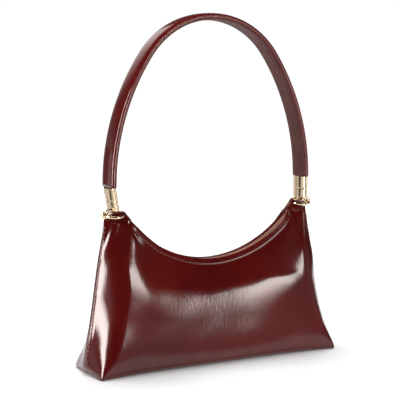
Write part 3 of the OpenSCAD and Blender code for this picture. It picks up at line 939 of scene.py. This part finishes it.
# The beads along the edges, in edge paint that is partly a painted highlight: radius, and how far
# in they lie, across and outward
BEAD_R = 0.75 * MM
BEAD_IN = 0.25 * MM
BEAD_DOWN = 0.1 * MM
ALONG_Y = np.array([0, 1, 0])


def handle_stations(count):
    """Places along the handle's middle line from left to right, with the outward direction."""
    flank = FLANK_R * SIDE_TURN
    total = 2 * flank + 2 * ARCH_R * ARCH_TURN
    out = []
    for s in np.linspace(0, total, count):
        if s < flank or s > total - flank:
            left = s < flank
            a = (s if left else total - s) / FLANK_R
            sign = -1 if left else 1
            radial = np.array([sign * math.cos(a), 0, math.sin(a)])
            centre = np.array([sign * (HANDLE_SPAN / 2 - FLANK_R), 0, FERRULE_TOP])
            out.append((centre + FLANK_R * radial, radial, s))
        else:
            a = math.pi - SIDE_TURN - (s - flank) / ARCH_R
            radial = np.array([math.cos(a), 0, math.sin(a)])
            out.append((np.array([0, 0, ARCH_Z]) + ARCH_R * radial, radial, s))
    return out


def cover_profile(side):
    """Section of one cover of the handle: (outward, across), a crowned face and its inside."""
    points = []
    for a in np.linspace(-math.pi / 2, math.pi / 2, 25):
        y = STRAP_W / 2 * power(math.sin(a), 0.75)
        x = STRAP_T / 2 * max(math.cos(a), 0) ** 0.42
        points.append((side * (COVER_GAP + x * 0.98), y))
    inner = [(side * max(side * x - COVER_T, COVER_GAP), y * 0.9) for x, y in points[::-1]]
    return points + inner


def bead_rings(edge):
    rings = []
    for centre, radial, _ in handle_stations(HANDLE_ROWS):
        middle = centre + edge * (STRAP_W / 2 - BEAD_IN) * ALONG_Y - radial * BEAD_DOWN
        rings.append(circle(middle, BEAD_R, radial, ALONG_Y, 12))
    return rings


def build_cover(name, side, material, slot, node):
    profile = cover_profile(side)
    rings = []
    for centre, radial, s in handle_stations(HANDLE_ROWS):
        wobble = 1 + 0.006 * math.sin(s * 90) + 0.004 * math.sin(s * 210 + 1)
        rings.append(np.array([centre + radial * x * wobble + y * ALONG_Y for x, y in profile]))
    parts = [tube(rings)]
    plain = len(parts[0][1])
    if side > 0:
        parts += [tube(bead_rings(edge)) for edge in (-1, 1)]
    obj = add_piece(name, *merge(parts), material, "handle", slot, node)
    # The beads get the edge paint, whose pale colour is partly a painted highlight along the edge.
    obj.data.materials.append(EDGE_PAINT_WITH_HIGHLIGHT)
    for face in obj.data.polygons[plain:]:
        face.material_index = 1


# Ferrules and tabs
PIVOT_Z = 156.6 * MM
RING_R = 9.3 * MM
FERRULE_LEN = 24 * MM
FERRULE_W = 23.6 * MM
FERRULE_T = 7.0 * MM
LEFT_LEAN = math.radians(9)
# How far the eye's middle lies outside the foot of the ferrule
EYE_OUT = 8.6 * MM
EYE_R = 3.05 * MM
ARM_T = 2.4 * MM
# Heights along a ferrule, from its top
RIGHT_HEAD, LEFT_HEAD = -0.35 * MM, -0.85 * MM
UPPER_FOOT = -13.35 * MM
LOWER_HEAD = -13.8 * MM
GROOVE = (-15 * MM, -12 * MM)
SLEEVE_EDGE_R = 0.35 * MM
SLEEVE_WALL = 0.9 * MM
GROOVE_DEPTH = 0.8 * MM
DOME_R = 1.2 * MM


def sleeve_outline():
    """A flattened tube: two well crowned long sides and full round ends."""
    return [(FERRULE_T / 2 * power(math.cos(a), 0.76), FERRULE_W / 2 * power(math.sin(a), 0.94))
            for a in np.linspace(0, 2 * math.pi, 72, endpoint=False)]


def lean(side):
    return LEFT_LEAN if side < 0 else 0.0


def foot_x(side):
    return side * (HANDLE_SPAN / 2 - FERRULE_LEN * math.sin(lean(side)))


def on_ferrule(side, verts):
    verts = np.asarray(verts, float)
    c, s = math.cos(side * lean(side)), math.sin(side * lean(side))
    return np.stack([verts[:, 0] * c + verts[:, 2] * s + side * HANDLE_SPAN / 2, verts[:, 1],
                     -verts[:, 0] * s + verts[:, 2] * c + FERRULE_TOP], -1)


def build_ferrule(side, word):
    outline = sleeve_outline()
    top = RIGHT_HEAD if side > 0 else LEFT_HEAD
    levels = bevelled(UPPER_FOOT, top, SLEEVE_EDGE_R)
    levels += [(SLEEVE_WALL, top), (SLEEVE_WALL, top - 3 * MM)]
    verts, faces = disc_stack(outline, levels)
    add_piece("sleeve_upper_" + word, on_ferrule(side, verts), faces, GOLD, "handle", "gold_metal",
              "ferrule_upper_" + word)
    groove = disc_stack(outline, [(GROOVE_DEPTH, z) for z in GROOVE])
    a = np.linspace(0, math.pi / 2, 5)
    dome = [(DOME_R * (1 - math.sin(t)), -FERRULE_LEN + DOME_R * (1 - math.cos(t))) for t in a]
    rim = [(SLEEVE_EDGE_R * (1 - math.cos(t)), LOWER_HEAD - SLEEVE_EDGE_R * (1 - math.sin(t)))
           for t in a]
    body = disc_stack(outline, dome + [(0, -22.4 * MM), (0, -14.5 * MM)] + rim)
    parts = [(on_ferrule(side, verts), faces) for verts, faces in (groove, body)]
    x = foot_x(side)
    parts.append(round_ring(np.array([x + side * EYE_OUT, 0, PIVOT_Z]), EYE_R, 0.8 * MM, 1.2 * MM))
    # The arm joins the eye to the foot
    low = PIVOT_Z + 2.4 * MM
    high = FERRULE_TOP - FERRULE_LEN * math.cos(lean(side)) + 1.3 * MM
    parts.append(rounded_box(EYE_OUT, ARM_T, high - low, 0.7 * MM,
                             (x + side * EYE_OUT / 2, 0, (high + low) / 2)))
    add_piece("sleeve_lower_" + word, *merge(parts), GOLD, "handle", "gold_metal",
              "ferrule_lower_" + word)


# A tab round its wire, in mm from the wire's middle: the crown over the wire, the tail in the
# tip, and the tongue that fills the ring
TAB_CROWN_R = 2.9
TAB_HOLE_R = 1.85
TAB_TAIL = [(-3.9, -0.6), (-5.6, -2.6), (-7.4, -4.8), (-8.8, -7.2), (-8.4, -9.6), (-5, -11),
            (0, -11.5), (4, -9.5), (6.5, -7)]
TAB_TONGUE = [(12.6, -5.0), (13.6, -3.2), (13.7, -1.4), (12.4, 0.6), (9.0, 1.3), (5.6, 1.5),
              (3.6, 1.9), (2.2, 2.3)]
# Its rounded edge: half its width in mm, and how far the outline is drawn in there
TAB_EDGE = [(2.2, 0), (2.8, 0.1), (3.0, 0.35), (2.9, 0.55), (2.6, 0.75)]


def build_tab(side, word):
    """A narrow leather loop, snug round the ring's wire, with its tail in the tip of the bag."""
    x = foot_x(side) + side * EYE_OUT - side * 2 * RING_R
    crown = [(TAB_CROWN_R * math.cos(a), TAB_CROWN_R * math.sin(a))
             for a in np.linspace(math.radians(65), math.radians(165), 14)]
    outer = np.array(crown + TAB_TAIL + TAB_TONGUE) * MM * np.array([side, 1])
    turn = np.arctan2(outer[:, 1], outer[:, 0])
    hole = TAB_HOLE_R * MM * np.stack([np.cos(turn), np.sin(turn)], -1)

    def ring(flat, y):
        return np.column_stack([x + flat[:, 0], np.full(len(flat), y * MM), PIVOT_Z + flat[:, 1]])

    rings = []
    for y, shrink in [(-y, shrink) for y, shrink in TAB_EDGE[::-1]] + TAB_EDGE:
        drawn_in = 1 - shrink * MM / np.linalg.norm(outer, axis=1, keepdims=True)
        rings.append(ring(outer * drawn_in, y))
    rings += [ring(hole, y) for y in (2.4, 0, -2.4)]
    rings.append(rings[0])
    add_piece("tab_loop_" + word, *tube(rings, cap=False), STRAP_LEATHER, "bag", "matte_leather",
              "ring_tab_" + word)


FACES, ENDS = ("front", "back"), ("left", "right")
for build, name, node, words in (
        (build_panel, "leather_%s_panel", "%s_panel", FACES),
        (build_lining, "cloth_%s_lining", "%s_lining", FACES),
        (rim_stitches, "thread_rim_%s", "rim_stitching_%s", FACES),
        (side_stitches, "thread_side_%s", "side_stitching_%s", ENDS),
        (build_tape, "tape_%s", "zip_tape_%s", FACES),
        (build_teeth, "teeth_%s", "zip_teeth_%s", FACES)):
    for side, word in zip((-1, 1), words):
        build(name % word, side, node % word)
build_cover("handle_cover_outer", 1, STRAP_LEATHER, "strap_leather", "strap_outer")
build_cover("handle_cover_inner", -1, INNER_LEATHER, "matte_leather", "strap_inner")

build_slider()
build_pull()
build_stops()
for word, side in (("left", -1), ("right", 1)):
    build_ferrule(side, word)
    build_tab(side, word)

CARRIED = {"base_board": BOARD, "strap_filler": FELT, "ring_left": GOLD, "ring_right": GOLD}
for node_name, material in CARRIED.items():
    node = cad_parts[node_name]
    node.data.materials.clear()
    node.data.materials.append(material)


# Camera, floor and lights
CAMERA_PLACE = (-0.6075, -1.0819, 0.3188)
CAMERA_YAW = 28.89
CAMERA_PITCH = 7.08
CAMERA_LENS = 110.1
CAMERA_SENSOR = 36
FLOOR_HALF = 4.0
FLOOR_GREY = (0.82, 0.82, 0.82, 1)
# The floor's glow beside the bag and far from it, and where it starts and ends to grow
FLOOR_GLOW = (0.17, 0.58)
FLOOR_GLOW_REACH = (0.15, 1.6)
# The world's light on things, and as the camera and mirrors see it
WORLD_LIGHT, WORLD_SEEN = 0.56, 1.0
CARD_COLOUR = (1.0, 0.97, 0.92, 1)
CARD_STEPS = 32
# The share of a card's height over which it brightens from its foot
CARD_FOOT_SHARE = 0.65
# The dome's level at the horizon and above, and between which shares of its radius it fades
DOME_LEVELS = (0.38, 0.03)
DOME_FADE = (0.1, 0.3)


def place_camera():
    data = bpy.data.cameras.new("photo_camera")
    data.sensor_width = CAMERA_SENSOR
    data.lens = CAMERA_LENS
    camera = add_object("photo_camera", data)
    camera.location = CAMERA_PLACE
    camera.rotation_euler = (math.radians(90 - CAMERA_PITCH), 0, math.radians(-CAMERA_YAW))
    bpy.context.scene.camera = camera


def seen_mask(tree):
    """1 for what the camera, or a mirror or glass, sees, and 0 for light that falls on things."""
    rays = tree.nodes.new("ShaderNodeLightPath").outputs
    first = math_node(tree, "MAXIMUM", rays["Is Camera Ray"], rays["Is Glossy Ray"])
    return math_node(tree, "MAXIMUM", first, rays["Is Transmission Ray"])


def bare_material(name):
    """A material that has only its output, and the socket of its surface."""
    material, tree, _ = new_material(name)
    tree.nodes.clear()
    return material, tree, tree.nodes.new("ShaderNodeOutputMaterial").inputs["Surface"]


def place_floor():
    """A pale floor with a glow that is only seen, weak by the bag so that its shadow shows."""
    mesh = bpy.data.meshes.new("studio_floor")
    corners = ((-1, -1), (1, -1), (1, 1), (-1, 1))
    mesh.from_pydata([(x * FLOOR_HALF, y * FLOOR_HALF, 0) for x, y in corners], [], [(0, 1, 2, 3)])
    floor = add_object("studio_floor", mesh)
    material, tree, surface = bare_material("studio_floor")
    place = new_node(tree, "TexCoord", {}).outputs["Object"]
    reach = new_node(tree, "VectorMath", {0: place})
    reach.operation = "LENGTH"
    level = map_range(tree, reach.outputs["Value"], *FLOOR_GLOW, *FLOOR_GLOW_REACH, True)
    seen = math_node(tree, "MULTIPLY", seen_mask(tree), level)
    diffuse = new_node(tree, "BsdfDiffuse", {"Color": FLOOR_GREY}).outputs["BSDF"]
    glow = new_node(tree, "Emission", {"Strength": seen}).outputs["Emission"]
    both = new_node(tree, "AddShader", {0: diffuse, 1: glow})
    tree.links.new(both.outputs["Shader"], surface)
    mesh.materials.append(material)


def place_world():
    world = bpy.data.worlds.new("studio")
    bpy.context.scene.world = world
    world.use_nodes = True
    tree = world.node_tree
    back = tree.nodes["Background"]
    back.inputs["Color"].default_value = (1, 1, 1, 1)
    level = map_range(tree, seen_mask(tree), WORLD_LIGHT, WORLD_SEEN)
    tree.links.new(level, back.inputs["Strength"])


def softbox(name, where, target, size, power_watts):
    data = bpy.data.lights.new(name, "AREA")
    data.shape = "RECTANGLE"
    data.size, data.size_y = size
    data.energy = power_watts
    lamp = add_object(name, data)
    lamp.location = where
    lamp.rotation_euler = (Vector(target) - Vector(where)).to_track_quat("-Z", "Y").to_euler()
    lamp.visible_glossy = False


def mirror_only(obj):
    """A card that only polished surfaces see: it shades nothing and the camera sees past it."""
    obj.visible_camera = False
    obj.visible_diffuse = False
    obj.visible_shadow = False
    obj.visible_transmission = False
    obj.visible_volume_scatter = False


def card_material(name):
    """A plain light, and the socket of its strength."""
    material, tree, surface = bare_material(name)
    glow = new_node(tree, "Emission", {"Color": CARD_COLOUR})
    tree.links.new(glow.outputs["Emission"], surface)
    return material, tree, glow.inputs["Strength"]


def arc_card(name, radius, low, high, start, stop, level, foot=1.0, ends=1.0, fade=0.3):
    """An upright curved card. Its ends are given in degrees from the front, towards the right.
    foot is the share of its level left at its lower edge, ends the share left at its two ends,
    and fade the share of its length over which each end fades."""
    verts = []
    for z in (low, high):
        for a in np.radians(np.linspace(start, stop, CARD_STEPS + 1)):
            verts.append((radius * math.sin(a), -radius * math.cos(a), z))
    mesh = bpy.data.meshes.new(name)
    mesh.from_pydata(verts, [], grid_faces(2, CARD_STEPS + 1))
    card = add_object(name, mesh)
    layer = mesh.uv_layers.new(name="place")
    for loop in mesh.loops:
        row, col = divmod(loop.vertex_index, CARD_STEPS + 1)
        layer.data[loop.index].uv = (col / CARD_STEPS, row)
    material, tree, strength = card_material(name)
    strength.default_value = level
    if foot < 1 or ends < 1:
        place = new_node(tree, "UVMap", {})
        place.uv_map = "place"
        split = new_node(tree, "SeparateXYZ", {"Vector": place.outputs["UV"]})
        up = map_range(tree, split.outputs["Y"], foot, 1, 0, CARD_FOOT_SHARE, True)
        from_end = math_node(tree, "PINGPONG", split.outputs["X"], 0.5)
        along = map_range(tree, from_end, ends, 1, 0, fade, True)
        both = math_node(tree, "MULTIPLY", up, along)
        tree.links.new(math_node(tree, "MULTIPLY", both, level), strength)
    mesh.materials.append(material)
    mirror_only(card)


def studio_dome(name, radius):
    """A dark ceiling that fades to grey near the horizon."""
    bm = bmesh.new()
    bmesh.ops.create_uvsphere(bm, u_segments=48, v_segments=24, radius=radius)
    mesh = bpy.data.meshes.new(name)
    bm.to_mesh(mesh)
    bm.free()
    dome = add_object(name, mesh)
    material, tree, strength = card_material(name)
    place = new_node(tree, "TexCoord", {}).outputs["Object"]
    split = new_node(tree, "SeparateXYZ", {"Vector": place})
    fade = [share * radius for share in DOME_FADE]
    tree.links.new(map_range(tree, split.outputs["Z"], *DOME_LEVELS, *fade), strength)
    mesh.materials.append(material)
    mirror_only(dome)


place_camera()
place_floor()
place_world()
studio_dome("studio_dome", 3.2)
arc_card("flag_front_left", 0.9, 0.0, 1.5, -66, 10, 0.02)
arc_card("flag_left_back", 0.9, 0.0, 1.5, -132, -110, 0.03)
arc_card("flag_front_low", 0.6, 0.0, 0.07, 2, 80, 0.3)
arc_card("flag_right_back", 0.9, 0.0, 1.5, 80, 170, 0.05)
arc_card("back_card", 1.5, 0.35, 1.3, 150, 200, 1.6, foot=0.3, ends=0.3)
arc_card("left_strip", 0.8, 0.0, 0.75, -97, -76, 22, ends=0.6)
# Two rows of cards behind the bag: from and to in height, then start, stop and level of each
BACK_CARDS_R = 0.5
BACK_CARDS = {
    "low": (0.02, 0.078, [
        (-186, -159.5, 0.8), (-155, -148.5, 0.4), (-147, -144, 0.35), (-143.5, -138, 0.8),
        (-137, -125, 0.06), (-125, -107, 0.5), (-104, -100, 0.1)]),
    "high": (0.08, 0.25, [
        (-190, -173, 0.75), (-173, -161, 0.5), (-161, -158.5, 0.15), (-158, -154, 0.75),
        (-153.5, -139.5, 0.06), (-139, -117, 0.8), (-114, -100, 0.1)])}
for word, (low, high, cards) in BACK_CARDS.items():
    for number, (start, stop, level) in enumerate(cards):
        arc_card("back_card_%s_%d" % (word, number), BACK_CARDS_R, low, high, start, stop, level)
arc_card("right_tip_strip", 0.5, 0.24, 0.38, 63, 77, 6, foot=0.4, ends=0.1, fade=0.4)
arc_card("front_card", 2.8, 0.09, 0.84, 9, 32.5, 15, foot=0.03, ends=0.03, fade=0.26)
softbox("front_soft", (-0.5, -1.5, 1.2), (0, 0, 0.1), (1.2, 0.8), 4)
softbox("top_soft", (0.0, 0.45, 1.6), (0, 0, 0.1), (1.0, 0.8), 20)
bpy.context.scene.view_settings.view_transform = "Standard"
